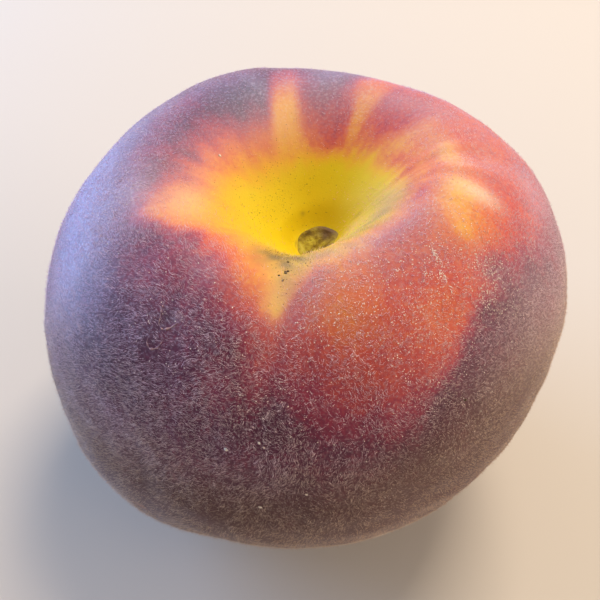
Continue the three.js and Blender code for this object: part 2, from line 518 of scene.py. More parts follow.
# %% Meshes from whole arrays
def new_piece(name, points, faces, slot_name, smooth=True):
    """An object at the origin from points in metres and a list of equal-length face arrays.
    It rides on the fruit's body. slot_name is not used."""
    mesh = bpy.data.meshes.new(name)
    sizes = np.concatenate([np.full(len(f), f.shape[1]) for f in faces])
    corners = np.concatenate([f.ravel() for f in faces]).astype(np.int32)
    mesh.vertices.add(len(points))
    mesh.vertices.foreach_set("co", np.asarray(points, np.float32).ravel())
    mesh.loops.add(len(corners))
    mesh.loops.foreach_set("vertex_index", corners)
    mesh.polygons.add(len(sizes))
    starts = np.cumsum(np.concatenate([[0], sizes[:-1]])).astype(np.int32)
    mesh.polygons.foreach_set("loop_start", starts)
    mesh.update(calc_edges=True)
    mesh.polygons.foreach_set("use_smooth", np.full(len(sizes), smooth))
    mesh.validate()
    piece = bpy.data.objects.new(name, mesh)
    bpy.context.scene.collection.objects.link(piece)
    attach(piece, BODY)
    triangles = int((sizes - 2).sum())
    print(name, "has", len(points), "points and", triangles, "triangles")
    return piece


def closed_rows(grid):
    """Points and faces of a closed surface from a grid of rows, columns and x, y, z. Each
    face runs down, across and up again, which turns it outwards when rows go down and
    columns go round by azimuth."""
    rows, columns = grid.shape[:2]
    points = np.concatenate([grid[:1, 0], grid[1:-1].reshape(-1, 3), grid[-1:, 0]])
    here = 1 + np.arange(rows - 2)[:, None] * columns + np.arange(columns)
    there = np.roll(here, -1, axis=1)
    quads = np.stack([here[:-1], here[1:], there[1:], there[:-1]], -1).reshape(-1, 4)
    top = np.stack([np.zeros(columns, int), here[0], there[0]], -1)
    bottom = np.stack([np.full(columns, len(points) - 1), there[-1], here[-1]], -1)
    return points, [top, quads, bottom]


def per_point(grid_values):
    """The same order of points as closed_rows, for one value or vector at each grid place."""
    flat = grid_values[1:-1].reshape(-1, *grid_values.shape[2:])
    return np.concatenate([grid_values[:1, 0], flat, grid_values[-1:, 0]])


def store(piece, name, values):
    """Keeps one number or one vector for each vertex as a named attribute."""
    values = np.asarray(values, np.float32)
    kind, key = ("FLOAT", "value") if values.ndim == 1 else ("FLOAT_VECTOR", "vector")
    layer = piece.data.attributes.new(name, kind, "POINT")
    layer.data.foreach_set(key, values.ravel())


print("a small closed grid has", len(closed_rows(np.zeros((4, 6, 3)))[0]), "points")

# %% Skin mesh
SKIN_ROWS, SKIN_COLUMNS = 236, 400

down_grid, azimuth_grid = np.meshgrid(
    spread_rows(SKIN_ROWS), np.arange(SKIN_COLUMNS) * 360 / SKIN_COLUMNS - 180, indexing="ij"
)
skin_piece = new_piece("skin", *closed_rows(skin(down_grid, azimuth_grid)), "skin")
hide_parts("peach")

FIELDS = {
    "blush": blush_field,
    "funnel_shade": funnel_shade_field,
    "bloom": bloom_field,
    "veil": veil_field,
    "shade_bounce_brown": shade_bounce_brown_field,
    "blue_light": blue_light_field,
    "stain": stain_field,
}
for field_name, field in FIELDS.items():
    store(skin_piece, field_name, per_point(field(down_grid, azimuth_grid)))
print("blush over the skin averages", round(float(blush_field(down_grid, azimuth_grid).mean()), 2))


# %% [markdown]
# The blush is drawn out along the lines from stem to tip, because the skin grows that way.
# For that the material needs a place that changes quickly round the fruit and slowly down
# it. A vector with the azimuth bent into a circle does this with no seam.

# %% Place for the streaks
STREAK_STRETCH = 7.0
STREAK_RADIUS_MM = 22.0
MM_FOR_A_DEGREE = 0.6  # down the skin

turn = np.radians(azimuth_grid)
streak_place = np.stack(
    [
        STREAK_RADIUS_MM * np.cos(turn),
        STREAK_RADIUS_MM * np.sin(turn),
        down_grid * MM_FOR_A_DEGREE / STREAK_STRETCH,
    ],
    -1,
)
store(skin_piece, "streak_place", per_point(streak_place) * MM)
print("streaks are", STREAK_STRETCH, "times as long as wide")

# %% [markdown]
# ## Materials
#
# Colours are written as the hex values a painter would pick on a screen. Blender mixes light,
# so one function turns them to linear values. One more function adds a node, sets it and
# fills its inputs, which keeps each material as a short list of what it is made of.

# %% Colour and node helpers
def colour(hex_value):
    """Linear red, green, blue and alpha from an sRGB hex string."""
    s = np.array([int(hex_value[i : i + 2], 16) for i in (1, 3, 5)]) / 255
    linear = np.where(s <= 0.04045, s / 12.92, ((s + 0.055) / 1.055) ** 2.4)
    return (*map(float, linear), 1.0)


def add(tree, kind, fills=None, **settings):
    """Adds a node of a kind, with its settings, and fills its inputs by name or number with
    a plain value or with another node's output."""
    node = tree.nodes.new(kind)
    for key, value in settings.items():
        setattr(node, key, value)
    for key, value in (fills or {}).items():
        if isinstance(value, bpy.types.NodeSocket):
            tree.links.new(value, node.inputs[key])
        else:
            node.inputs[key].default_value = value
    return node


def new_material(name):
    """An empty material and its node tree."""
    material = bpy.data.materials.new(name)
    material.use_nodes = True
    material.node_tree.nodes.clear()
    return material, material.node_tree


def wear(tree, shader):
    """Joins a finished shader to the material's output."""
    add(tree, "ShaderNodeOutputMaterial", {"Surface": shader.outputs[0]})


def across(size_mm):
    """Scale of a pattern whose features are size_mm across, on coordinates in metres."""
    return 1 / (size_mm * MM)


def stops(ramp, *places):
    """Sets a colour ramp's stops from pairs of position and hex colour."""
    elements = ramp.color_ramp.elements
    while len(elements) > 1:
        elements.remove(elements[-1])
    elements[0].position, elements[0].color = places[0][0], colour(places[0][1])
    for position, hex_value in places[1:]:
        elements.new(position).color = colour(hex_value)


print("coral red is linear", np.round(colour("#C8503C"), 3))

# %% [markdown]
# ### The skin
#
# Peach skin is a thin waxy layer over coloured cells, grown and never worked. It is matt,
# lets a little light in, and its red is laid over yellow in blotches a few millimetres
# across, finer dots well under one, and streaks from stem to tip. Tiny dark pores dot the
# yellow. The alternative, one noise over everything, looks like painted clay.

# %% Skin colour from the blush
peach_skin, tree = new_material("peach_skin_waxy_downy")
place = add(tree, "ShaderNodeTexCoord").outputs["Object"]
blush, funnel_shade, bloom, veil, shade_bounce_brown, blue_light, stain = (
    add(tree, "ShaderNodeAttribute", attribute_name=name).outputs["Fac"] for name in FIELDS
)
along = add(tree, "ShaderNodeAttribute", attribute_name="streak_place").outputs["Vector"]

# pattern, size in mm, detail, how much it shifts the blush
uneven = 0.0
for vector, size_mm, detail, amount in (
    (place, 5.0, 4.0, 0.2),  # blotches
    (along, 1.8, 3.0, 0.16),  # streaks
    (place, 0.55, 3.0, 0.3),  # dots
):
    pattern = add(
        tree, "ShaderNodeTexNoise", {"Vector": vector, "Scale": across(size_mm), "Detail": detail}
    )
    part = add(tree, "ShaderNodeMath", {0: pattern.outputs["Fac"], 1: -0.5}, operation="ADD")
    fills = {0: part.outputs[0], 1: amount, 2: uneven}
    uneven = add(tree, "ShaderNodeMath", fills, operation="MULTIPLY_ADD").outputs[0]
how_red = add(tree, "ShaderNodeMath", {0: blush, 1: 2.6}, operation="MULTIPLY", use_clamp=True)
fills = {0: uneven, 1: how_red.outputs[0], 2: blush}
redness = add(tree, "ShaderNodeMath", fills, operation="MULTIPLY_ADD", use_clamp=True)

skin_ramp = add(tree, "ShaderNodeValToRGB", {"Fac": redness.outputs[0]})
stops(
    skin_ramp,
    (0.0, "#E2C40E"),  # ground yellow
    (0.09, "#E8AE22"),
    (0.18, "#E29238"),  # orange
    (0.27, "#D8703E"),
    (0.42, "#C65040"),  # coral
    (0.60, "#963346"),  # crimson
    (0.78, "#60263E"),  # wine
    (1.0, "#33192B"),  # plum
)
print("skin ramp has", len(skin_ramp.color_ramp.elements), "colours")

# %% Painted shade in brown and green, then pores and stains over it
is_dark = add(
    tree, "ShaderNodeMapRange", {0: redness.outputs[0], 1: 0.45, 2: 0.75, 3: 0.0, 4: 0.8}
)
brown_shade_share = add(tree, "ShaderNodeMath", {0: is_dark.outputs[0], 1: shade_bounce_brown}, operation="MULTIPLY")
in_ground = add(tree, "ShaderNodeMath", {0: 1.0, 1: how_red.outputs[0]}, operation="SUBTRACT")
funnel_shade_share = add(
    tree, "ShaderNodeMath", {0: funnel_shade, 1: in_ground.outputs[0]}, operation="MULTIPLY"
)

# pores: dark dots a tenth of a millimetre across and a millimetre or two apart
cells = add(tree, "ShaderNodeTexVoronoi", {"Vector": place, "Scale": across(1.5)})
dot = add(
    tree, "ShaderNodeMapRange", {0: cells.outputs["Distance"], 1: 0.10, 2: 0.05, 3: 0.0, 4: 1.0}
)
few = add(tree, "ShaderNodeTexNoise", {"Vector": place, "Scale": across(7.0)})
where = add(tree, "ShaderNodeMapRange", {0: few.outputs["Fac"], 1: 0.45, 2: 0.6, 3: 0.0, 4: 0.7})
pore = add(
    tree, "ShaderNodeMath", {0: dot.outputs[0], 1: where.outputs[0]}, operation="MULTIPLY"
)
pore_share = add(
    tree, "ShaderNodeMath", {0: pore.outputs[0], 1: in_ground.outputs[0]}, operation="MULTIPLY"
)

skin_colour = skin_ramp.outputs["Color"]
for share, hex_value in (
    (brown_shade_share.outputs[0], "#4A2A20"),  # painted shade and warm reflected light: the darkest skin turns brown below
    (funnel_shade_share.outputs[0], "#BCA622"),  # painted shade: the yellow on the funnel's shaded walls turns green
    (pore_share.outputs[0], "#5A4A14"),
    (stain, "#7A652E"),
):
    fills = {0: share, 6: skin_colour, 7: colour(hex_value)}
    skin_colour = add(tree, "ShaderNodeMix", fills, data_type="RGBA").outputs[2]
print("skin colour takes", len(tree.nodes), "nodes")

# %% Haze of the finest down
# it can't be told apart by eye: it greys the skin, more so where it clumps, and over pale
# skin it is lit through and looks warm
clumps = add(tree, "ShaderNodeTexNoise", {"Vector": place, "Scale": across(0.38), "Detail": 2.0})
clump = add(
    tree, "ShaderNodeMapRange", {0: clumps.outputs["Fac"], 1: 0.48, 2: 0.68, 3: 0.08, 4: 0.6}
)
fills = {0: bloom, 1: clump.outputs[0], 2: veil}
haze = add(tree, "ShaderNodeMath", fills, operation="MULTIPLY_ADD", use_clamp=True)
over_pale = add(tree, "ShaderNodeMapRange", {0: blush, 1: 0.12, 2: 0.42, 3: 0.9, 4: 0.0})
haze_tint = colour("#BA9C9C")
# painted light in the haze: warm brown light reflected from below, blue light on the left
for share, hex_value in (
    (shade_bounce_brown, "#AE9484"),
    (blue_light, "#A4A9CC"),
    (over_pale.outputs[0], "#EEC49E"),
):
    fills = {0: share, 6: haze_tint, 7: colour(hex_value)}
    haze_tint = add(tree, "ShaderNodeMix", fills, data_type="RGBA").outputs[2]
fills = {0: haze.outputs[0], 6: skin_colour, 7: haze_tint}
hazed = add(tree, "ShaderNodeMix", fills, data_type="RGBA")
print("haze over the skin takes it to", len(tree.nodes), "nodes")

# %% Skin surface
grain = add(tree, "ShaderNodeTexNoise", {"Vector": place, "Scale": across(0.22), "Detail": 2.0})
relief = add(
    tree,
    "ShaderNodeBump",
    {"Height": grain.outputs["Fac"], "Strength": 0.25, "Distance": 0.12 * MM},
)
velvet = add(tree, "ShaderNodeMapRange", {0: blush, 1: 0.0, 2: 0.35, 3: 0.06, 4: 0.3})
skin_shader = add(
    tree,
    "ShaderNodeBsdfPrincipled",
    {
        "Base Color": hazed.outputs[2],
        "Normal": relief.outputs[0],
        "Roughness": 0.6,
        "IOR": 1.42,
        "Specular IOR Level": 0.22,
        "Subsurface Weight": 0.12,
        "Subsurface Radius": (1.0, 0.4, 0.15),
        "Subsurface Scale": 1.2 * MM,
        "Sheen Weight": velvet.outputs[0],
        "Sheen Roughness": 0.4,
        "Sheen Tint": colour("#EBDFD6"),
    },
)
wear(tree, skin_shader)
skin_piece.data.materials.append(peach_skin)
print("skin material has", len(tree.nodes), "nodes")

# %% [markdown]
# ## The scar where the stem let go
#
# At the bottom of the funnel is a shallow pit with a corky pad in it: the plug that the tree
# grew to shut off the stem. It has a raised rim, a ring of little bumps where the sap vessels
# passed, and a cracked middle. A flat disc with a picture of cork would do from afar, but the
# pad is seen from close by, so it is a surface of its own that follows the floor of the pit.

# %% Scar piece
SCAR_REACH = 11.2  # degrees from the stem
TOP_ROWS, UNDER_ROWS, SCAR_COLUMNS = 38, 8, 120
SCAR_UNDERSIDE_MM = -0.35


def scar_height_mm(share, azimuth):
    """Height of the pad over the pit's floor. share is 0 in the middle and 1 at the edge. A
    rim at 0.86, low on the left, nine bumps at 0.5, cracks where two slow waves cross zero,
    and crumbs of a finer pair of waves."""
    a = np.radians(azimuth)
    x, y = share * np.cos(a), share * np.sin(a)
    rim = 0.22 * bell((share - 0.86 - 0.03 * np.sin(3 * a + 1)) / 0.1)
    rim = rim * (0.3 + 0.7 * bell(side_of(azimuth, 120) / 70))
    nine = 0.5 + 0.5 * np.cos(9 * a + 0.6 * np.sin(2 * a))
    bumps = 0.1 * bell((share - 0.5) / 0.13) * nine**2
    crack_line = np.sin(5.2 * x + 2.1 * np.sin(4 * y))
    crack_line = crack_line + 0.8 * np.sin(6.1 * y - 1.7 * np.sin(5 * x + 1))
    cracks = -0.09 * bell(crack_line / 0.3) * (share < 0.97)
    crumbs = 0.025 * np.sin(31 * x + 3 * np.sin(17 * y)) * np.sin(29 * y + 2 * np.sin(19 * x))
    return 0.14 + rim + bumps + cracks + crumbs


shares = np.concatenate([np.linspace(0, 1, TOP_ROWS), np.linspace(1, 0, UNDER_ROWS + 1)[1:]])
rounds = np.arange(SCAR_COLUMNS) * 360 / SCAR_COLUMNS
share_grid, scar_azimuth = np.meshgrid(shares, rounds, indexing="ij")
is_top = (np.arange(len(shares)) < TOP_ROWS)[:, None]
wavy = 0.97 + 0.015 * np.sin(np.radians(scar_azimuth) * 5)
wavy -= 0.13 * bell(side_of(scar_azimuth, -90) / 50) + 0.09 * bell(side_of(scar_azimuth, 70) / 25)
scar_down = np.maximum(share_grid, 0.004) * SCAR_REACH * wavy
floor_point = skin(scar_down, scar_azimuth)
floor_up, _ = skin_normals(np.maximum(scar_down, 0.6), scar_azimuth)
sunk = np.where(share_grid > 0.93, (share_grid - 0.93) / 0.07, 0)
top_mm = scar_height_mm(share_grid, scar_azimuth) * (1 - sunk) - 0.1 * sunk
lift_mm = np.where(is_top, top_mm, SCAR_UNDERSIDE_MM)
scar_grid = floor_point + floor_up * lift_mm[..., None] * MM
scar_piece = new_piece("stem_scar", *closed_rows(scar_grid), "stem_scar")
# painted shadow: the back of the pad, under the pit's wall, is darkened to grey brown
scar_shadow = bell(side_of(scar_azimuth, 128) / 48) * step_up((share_grid - 0.3) / 0.5)
store(scar_piece, "scar_shadow", per_point(scar_shadow))
print("the scar is", round(float(np.ptp(scar_grid[..., 0])) / MM, 1), "mm across")

# %% Cork material
# Cork: dead, air-filled cells, grown and then torn. Dry and dull, brown with yellow flecks of
# skin between the crumbs, so the colour follows two patterns of about 1 mm and 0.3 mm.
dry_cork, tree = new_material("dry_stem_cork_torn")
place = add(tree, "ShaderNodeTexCoord").outputs["Object"]
patches = add(tree, "ShaderNodeTexNoise", {"Vector": place, "Scale": across(1.3), "Detail": 3.0})
cork_ramp = add(tree, "ShaderNodeValToRGB", {"Fac": patches.outputs["Fac"]})
stops(cork_ramp, (0.3, "#6A561C"), (0.46, "#968126"), (0.58, "#B09F31"), (0.72, "#C0B048"))
# painted shadow at the back of the pad, darkening the cork to grey brown
scar_shadow = add(tree, "ShaderNodeAttribute", attribute_name="scar_shadow").outputs["Fac"]
fills = {0: scar_shadow, 6: cork_ramp.outputs["Color"], 7: colour("#6A5546")}
shadowed_cork = add(tree, "ShaderNodeMix", fills, data_type="RGBA")
crumb = add(tree, "ShaderNodeTexVoronoi", {"Vector": place, "Scale": across(0.3)})
relief = add(
    tree,
    "ShaderNodeBump",
    {"Height": crumb.outputs["Distance"], "Strength": 0.5, "Distance": 0.1 * MM},
)
cork_shader = add(
    tree,
    "ShaderNodeBsdfPrincipled",
    {
        "Base Color": shadowed_cork.outputs[2],
        "Normal": relief.outputs[0],
        "Roughness": 0.85,
        "IOR": 1.45,
        "Specular IOR Level": 0.25,
    },
)
wear(tree, cork_shader)
scar_piece.data.materials.append(dry_cork)
print("scar material has", len(tree.nodes), "nodes")

# %% [markdown]
# ## The down
#
# Peach down is made of single-cell hairs, half a millimetre to a millimetre long and a few
# hundredths thick. Blender's hair system would grow it, but particles are lost when a model
# is exported, so each hair here is a real spike of four triangles, and the longer ones have
# a bend. There are fewer than on a real peach, and each is a little thicker, so that they
# cover as much of the skin and still show one by one.

# %% Roots spread over the skin
CANDIDATES = 680_000
BARE_ABOVE_GROUND_MM = 1.2

draw = np.random.default_rng(71)
root_down = np.degrees(np.arccos(1 - 2 * draw.random(CANDIDATES)))
root_azimuth = draw.uniform(-180, 180, CANDIDATES)
root_place = skin(root_down, root_azimuth)
root_normal, patch_area = skin_normals(root_down, root_azimuth)

# even directions crowd where the skin is near the core, so each counts by its share of area
even = patch_area / np.sin(np.radians(np.maximum(root_down, 0.5)))
grows = np.maximum(bloom_field(root_down, root_azimuth), 1e-6)
clear_of_ground = root_place[:, 2] > BARE_ABOVE_GROUND_MM * MM
root_fields = {
    name: FIELDS[name](root_down, root_azimuth) for name in ("blush", "shade_bounce_brown", "blue_light")
}
root_way = directions(root_azimuth, 90 - root_down)
facing = root_way @ directions(np.array(0.0), np.array(35.0))
lush = 0.3 + 0.7 * step_up((facing + 0.1) / 0.7)  # rubbed thin behind and below
lush *= 1 - 0.5 * root_fields["shade_bounce_brown"] * bell((root_azimuth + 10) / 50)
thick = 1 + 0.4 * waves(root_way, 51, 9) + 0.4 * waves(root_way, 52, 2.4)
thick = np.clip(thick, 0.15, 2.4)
thinned = patch_sum(root_down, root_azimuth, THIN_PATCHES)
weight = even * np.sqrt(grows) * lush * thick * (1 - thinned) * clear_of_ground
print("roots to choose from:", int(clear_of_ground.sum()))


# %% [markdown]
# The down has been stroked by hands and leaves, so it leans round the fruit, and on the left
# cheek back and to the left. Over a few millimetres it leans one way and over the next few
# another, and neighbours meet in tufts. Two vector noises give that, and each hair adds its
# own.

# %% Which way a hair leans
def unit(v):
    """Vectors brought to length one."""
    return v / np.maximum(np.linalg.norm(v, axis=-1, keepdims=True), 1e-12)


combed = bell(side_of(root_azimuth, -45) / 55)[:, None]  # the left cheek was stroked last
slow = np.stack([waves(root_way, seed, 12, 14) for seed in (41, 42, 43)], -1)
tufts = np.stack([waves(root_way, seed, 2.2, 20) for seed in (44, 45, 46)], -1)
around = directions(root_azimuth + 90, 0 * root_down)
stroked = directions(np.array(-148.0), np.array(-5.0))
lean_field = 0.5 * (1 - combed) * around + combed * stroked
lean_field += (0.6 - 0.25 * combed) * slow + (0.45 - 0.05 * combed) * tufts
lean_field -= root_normal * (lean_field * root_normal).sum(-1, keepdims=True)
lean_field = unit(lean_field)
print("at the first root the down leans", np.round(lean_field[0], 2))

# %% One kind of hair
ROOT_DEPTH_MM = 0.04
SPIKE = ((0, 1, 3), (1, 2, 3), (2, 0, 3), (0, 2, 1))
BENT_WALLS = ((0, 1, 4, 3), (1, 2, 5, 4), (2, 0, 3, 5))
BENT_ENDS = ((3, 4, 6), (4, 5, 6), (5, 3, 6), (0, 2, 1))


def for_each(faces, corners, count):
    """The same faces for each of count hairs or grains: their corner numbers go up by
    corners from one to the next."""
    first = corners * np.arange(count)[:, None]
    return np.concatenate([first + np.array(face) for face in faces])


def hair_piece(name, chosen, length_mm, width_mm, lean, own_lean, bend, seed):
    """Spikes on the chosen roots. A hair starts just under the skin and goes out along the
    normal, plus lean times the shared direction, plus its own random one. With a bend it has
    a middle ring, from where it goes on more sideways. Each ring is a triangle. Combed hairs
    are longer, thinner and straighter."""
    draw = np.random.default_rng(seed)
    count = len(chosen)
    normal, root = root_normal[chosen], root_place[chosen]
    straight = combed[chosen]
    own = draw.normal(size=(count, 3)) * (1 - 0.3 * straight)
    way = unit(normal + lean * lean_field[chosen] + own_lean * own)
    length = draw.uniform(*length_mm, count)[:, None] * MM * (0.72 + 0.6 * straight)
    width = draw.uniform(*width_mm, count)[:, None] * MM / 2 * (1.25 - 0.45 * straight)
    side = unit(np.cross(way, draw.normal(size=(count, 3))))
    other = np.cross(way, side)
    ring = []
    for angle in (0, 120, 240):
        c, s = math.cos(math.radians(angle)), math.sin(math.radians(angle))
        ring.append(width * (c * side + s * other))
    start = root - normal * ROOT_DEPTH_MM * MM
    if not bend:
        rows = [start + r for r in ring] + [start + way * length]
        faces = [for_each(SPIKE, 4, count)]
    else:
        middle = start + way * length * 0.5
        sideways = unit(own - normal * (own * normal).sum(-1, keepdims=True))
        onward = unit(way + bend * (1 - 0.6 * straight) * sideways)
        tip = middle + onward * length * 0.5
        rows = [start + r for r in ring] + [middle + 0.8 * r for r in ring] + [tip]
        faces = [for_each(BENT_WALLS, 7, count), for_each(BENT_ENDS, 7, count)]
    points = np.stack(rows, 1).reshape(-1, 3)
    piece = new_piece(name, points, faces, "down", smooth=False)
    for field_name, values in root_fields.items():
        store(piece, field_name, np.repeat(values[chosen], len(rows)))
    return piece


print("a straight hair has", len(SPIKE), "faces, a bent one", len(BENT_WALLS) + len(BENT_ENDS))


# %% Hairs of several kinds
KINDS = [
    # name, hairs, length, width, lean, own lean, bend
    ("down_stubble", 36_000, (0.12, 0.25), (0.04, 0.055), 0.3, 0.5, 0.0),
    ("down_upright", 46_000, (0.22, 0.4), (0.035, 0.05), 0.9, 0.6, 0.0),
    ("down_leaning", 30_500, (0.32, 0.52), (0.035, 0.05), 1.4, 0.7, 0.0),
    ("down_lying", 30_500, (0.45, 0.66), (0.035, 0.05), 1.8, 0.7, 0.0),
    ("down_swept", 19_800, (0.5, 0.8), (0.036, 0.048), 2.2, 0.8, 0.6),
    ("down_curled", 19_800, (0.4, 0.75), (0.03, 0.042), 1.2, 0.9, 1.3),
]
hairs = sum(kind[1] for kind in KINDS)
wait = draw.exponential(size=CANDIDATES) / np.maximum(weight, 1e-12)
first_up = np.argsort(wait)[:hairs]  # each root's chance goes with its weight
draw.shuffle(first_up)

down_pieces = []
taken = 0
for number, (name, count, length, width, lean, own_lean, bend) in enumerate(KINDS):
    chosen = first_up[taken : taken + count]
    taken += count
    down_pieces.append(hair_piece(name, chosen, length, width, lean, own_lean, bend, 100 + number))
print(len(down_pieces), "kinds of down,", taken, "hairs")

# %% Down material
# A hair cell is cellulose, like cotton: clear, dry and rough enough to look white in a mass.
# It takes a warm tint from the fruit in places and a cool one in others, over 8 mm or so.
plant_down, tree = new_material("plant_down_cellulose")
place = add(tree, "ShaderNodeTexCoord").outputs["Object"]
tints = add(tree, "ShaderNodeTexNoise", {"Vector": place, "Scale": across(8.0), "Detail": 2.0})
tint_ramp = add(tree, "ShaderNodeValToRGB", {"Fac": tints.outputs["Fac"]})
stops(tint_ramp, (0.35, "#CCA4AE"), (0.5, "#DEBCBC"), (0.65, "#D6B6A8"))
blush, shade_bounce_brown, blue_light = (
    add(tree, "ShaderNodeAttribute", attribute_name=name).outputs["Fac"] for name in root_fields
)
# the skin glows through: over the yellow and the orange a hair is nearly their colour
over_pale = add(tree, "ShaderNodeMapRange", {0: blush, 1: 0.12, 2: 0.36, 3: 0.8, 4: 0.0})
down_tint = tint_ramp.outputs["Color"]
# painted light on the hairs: warm brown light reflected from below, blue light on the left
for share, hex_value in (
    (shade_bounce_brown, "#C0A288"),
    (blue_light, "#B496BE"),
    (over_pale.outputs[0], "#F0B684"),
):
    fills = {0: share, 6: down_tint, 7: colour(hex_value)}
    down_tint = add(tree, "ShaderNodeMix", fills, data_type="RGBA").outputs[2]
down_shader = add(
    tree,
    "ShaderNodeBsdfPrincipled",
    {
        "Base Color": down_tint,
        "Roughness": 0.55,
        "IOR": 1.53,
        "Specular IOR Level": 0.3,
        "Subsurface Weight": 0.6,  # light goes right through a hair
        "Subsurface Radius": (1.0, 0.9, 0.85),
        "Subsurface Scale": 0.06 * MM,
        "Sheen Weight": 0.3,
    },
)
wear(tree, down_shader)
for piece in down_pieces:
    piece.data.materials.append(plant_down)
print("down material has", len(tree.nodes), "nodes")

# %% [markdown]
# ## Specks
#
# Some marks stand on the skin and aren't part of its colour: dark crumbs of cork and mould
# in the funnel and on its lip, and pale grains of dried dust caught in the down, with a few
# bigger ones of each. A texture would do for the smallest, but grains cast a shadow and catch
# the light, so each is a small low dome of a few facets sunk into the skin.


# %% Grains
RING_POINTS = 5


def grain_piece(name, places, size_mm, slot_name, seed):
    """Low domes of a ring of points, a top and a bottom at (angle from the stem, azimuth),
    turned to the skin, each stretched and sized by chance between size_mm."""
    draw = np.random.default_rng(seed)
    down, azimuth = np.asarray(places, float).T
    count = len(down)
    normal, _ = skin_normals(down, azimuth)
    centre = skin(down, azimuth)
    radius = draw.uniform(*size_mm, count)[:, None] * MM / 2
    side = unit(np.cross(normal, draw.normal(size=(count, 3))))
    other = np.cross(normal, side)
    rows = [centre + normal * radius * draw.uniform(0.4, 0.8, count)[:, None]]
    faces = []
    for number in range(RING_POINTS):
        turn = 2 * math.pi * number / RING_POINTS
        reach = radius * draw.uniform(0.75, 1.3, count)[:, None]
        rows.append(centre + reach * (math.cos(turn) * side + 0.8 * math.sin(turn) * other))
        here, there = 1 + number, 1 + (number + 1) % RING_POINTS
        faces += [(0, here, there), (RING_POINTS + 1, there, here)]
    rows.append(centre - normal * radius * 0.5)
    points = np.stack(rows, 1).reshape(-1, 3)
    return new_piece(name, points, [for_each(faces, RING_POINTS + 2, count)], slot_name)


def sprinkle(clusters, seed):
    """Random places from (azimuth, angle from the stem, half widths across and down in
    degrees of the skin, how many) for each cluster."""
    draw = np.random.default_rng(seed)
    places = []
    for side, angle, across, along, count in clusters:
        down = np.abs(angle + along * draw.normal(size=count))
        azimuth = side + across * draw.normal(size=count) / np.sin(np.radians(down))
        places.append(np.stack([down, azimuth], -1))
    return np.concatenate(places)


print("a grain has", 2 * RING_POINTS, "faces")

# %% Dark crumbs
DARK_CLUSTERS = [
    (-135, 24, 9, 3.5, 150),  # left and back of the yellow
    (-105, 25, 9, 3.5, 110),
    (-130, 17, 8, 4, 50),
    (-165, 22, 4, 5, 40),
    (-60, 24, 6, 3.5, 40),
    (170, 18, 6, 4, 24),
    (-29, 26, 5, 1.3, 260),  # the lip in front of the scar
    (-18, 28, 4, 2.5, 170),
    (-8, 26, 4, 1.5, 60),
    (-18, 34, 3, 3, 30),
    (60, 16, 5, 3, 26),  # right wall
    (20, 24, 12, 3, 30),
]
dark_grains = grain_piece("dark_grains", sprinkle(DARK_CLUSTERS, 5), (0.05, 0.13), "stem_scar", 6)

# angle from the stem, azimuth
BIG_DARK = [
    (30.7, -17.7), (30.9, -18.5), (31.2, -18.2), (32.1, -20.4), (33.0, -18.2),
    (28.2, -19.8), (28.1, -10.9), (61.0, 33.0),
]  # fmt: skip
dark_spots = grain_piece("dark_spots", BIG_DARK, (0.25, 0.5), "stem_scar", 7)

# %% Pale dust
PALE_CLUSTERS = [
    (30, 42, 12, 9, 800),  # right cheek
    (12, 34, 8, 6, 240),
    (50, 36, 4, 7, 160),
    (-20, 52, 14, 10, 160),
    (-55, 55, 14, 12, 120),
    (20, 70, 20, 10, 120),
    (37.6, 33, 0.25, 1.3, 60),  # rubbed lines on the crest
    (36, 36.4, 0.3, 1.1, 50),
    (32, 35, 0.3, 0.7, 20),
    (50, 41, 1.6, 2.6, 110),  # frost where the dark begins
    (45, 45, 1.4, 1.6, 60),
    (66.5, 34.5, 0.7, 1.2, 30),  # ragged end of the pale streak
]
pale_grains = grain_piece("pale_grains", sprinkle(PALE_CLUSTERS, 8), (0.1, 0.19), "down", 9)
BIG_PALE = [(68.8, -20.5), (65.8, -12.2), (85.8, -11.2), (78.4, -1.5), (32.5, -116.8), (65, -13.4)]
pale_flecks = grain_piece("pale_flecks", BIG_PALE, (0.4, 0.7), "down", 10)


# %% [markdown]
# Something sharp once dragged over the left cheek and lifted the skin into three thin pale
# edges. A line in the colour would be flat, so each is a ridge: a triangle carried along a
# path on the skin, narrow at both ends.

# %% Scuffed edges
SKIN_SINK_MM = 0.03


def smooth_path(path, t):
    """Angle from the stem and azimuth at shares t of a path's corners, rounded off by
    averaging with the places a twentieth before and after."""
    knots = np.linspace(0, 1, len(path))
    shares = [np.clip(t + offset, 0, 1) for offset in (-0.05, 0, 0.05)]
    return [sum(np.interp(share, knots, row) for share in shares) / 3 for row in np.array(path).T]


def ridge_piece(name, paths, width_mm, slot_name, steps=48):
    """Closed tubes along paths of (angle from the stem, azimuth). At each step stand a left
    and a right corner sunk in the skin and one on top. The width grows with sin(pi t), and
    the top is lower here and there, which frays the line."""
    rings, faces = [], []
    t = np.linspace(0, 1, steps)
    swell = (0.2 + 0.8 * np.sin(math.pi * t)) * (1 + 0.3 * np.sin(31 * t))
    half = (width_mm / 2 * MM * swell)[:, None]
    for number, path in enumerate(paths):
        down, azimuth = smooth_path(path, t)
        place, (up, _) = skin(down, azimuth), skin_normals(down, azimuth)
        right = np.cross(unit(np.gradient(place, axis=0)), up)
        foot = place - up * SKIN_SINK_MM * MM
        rise = half * (0.72 + 0.42 * np.sin(25 * t + 1 + number))[:, None]
        rings.append(np.stack([foot - right * half, place + up * rise, foot + right * half], 1))
        first = number * 3 * steps
        here = first + 3 * np.arange(steps - 1)[:, None]
        for a, b in ((0, 1), (1, 2), (2, 0)):
            faces.append(here + np.array((a, b, b + 3, a + 3)))
        last = first + 3 * (steps - 1)
        faces.append(np.array([[first + 2, first + 1, first], [last, last + 1, last + 2]]))
    return new_piece(name, np.concatenate(rings).reshape(-1, 3), faces, slot_name)


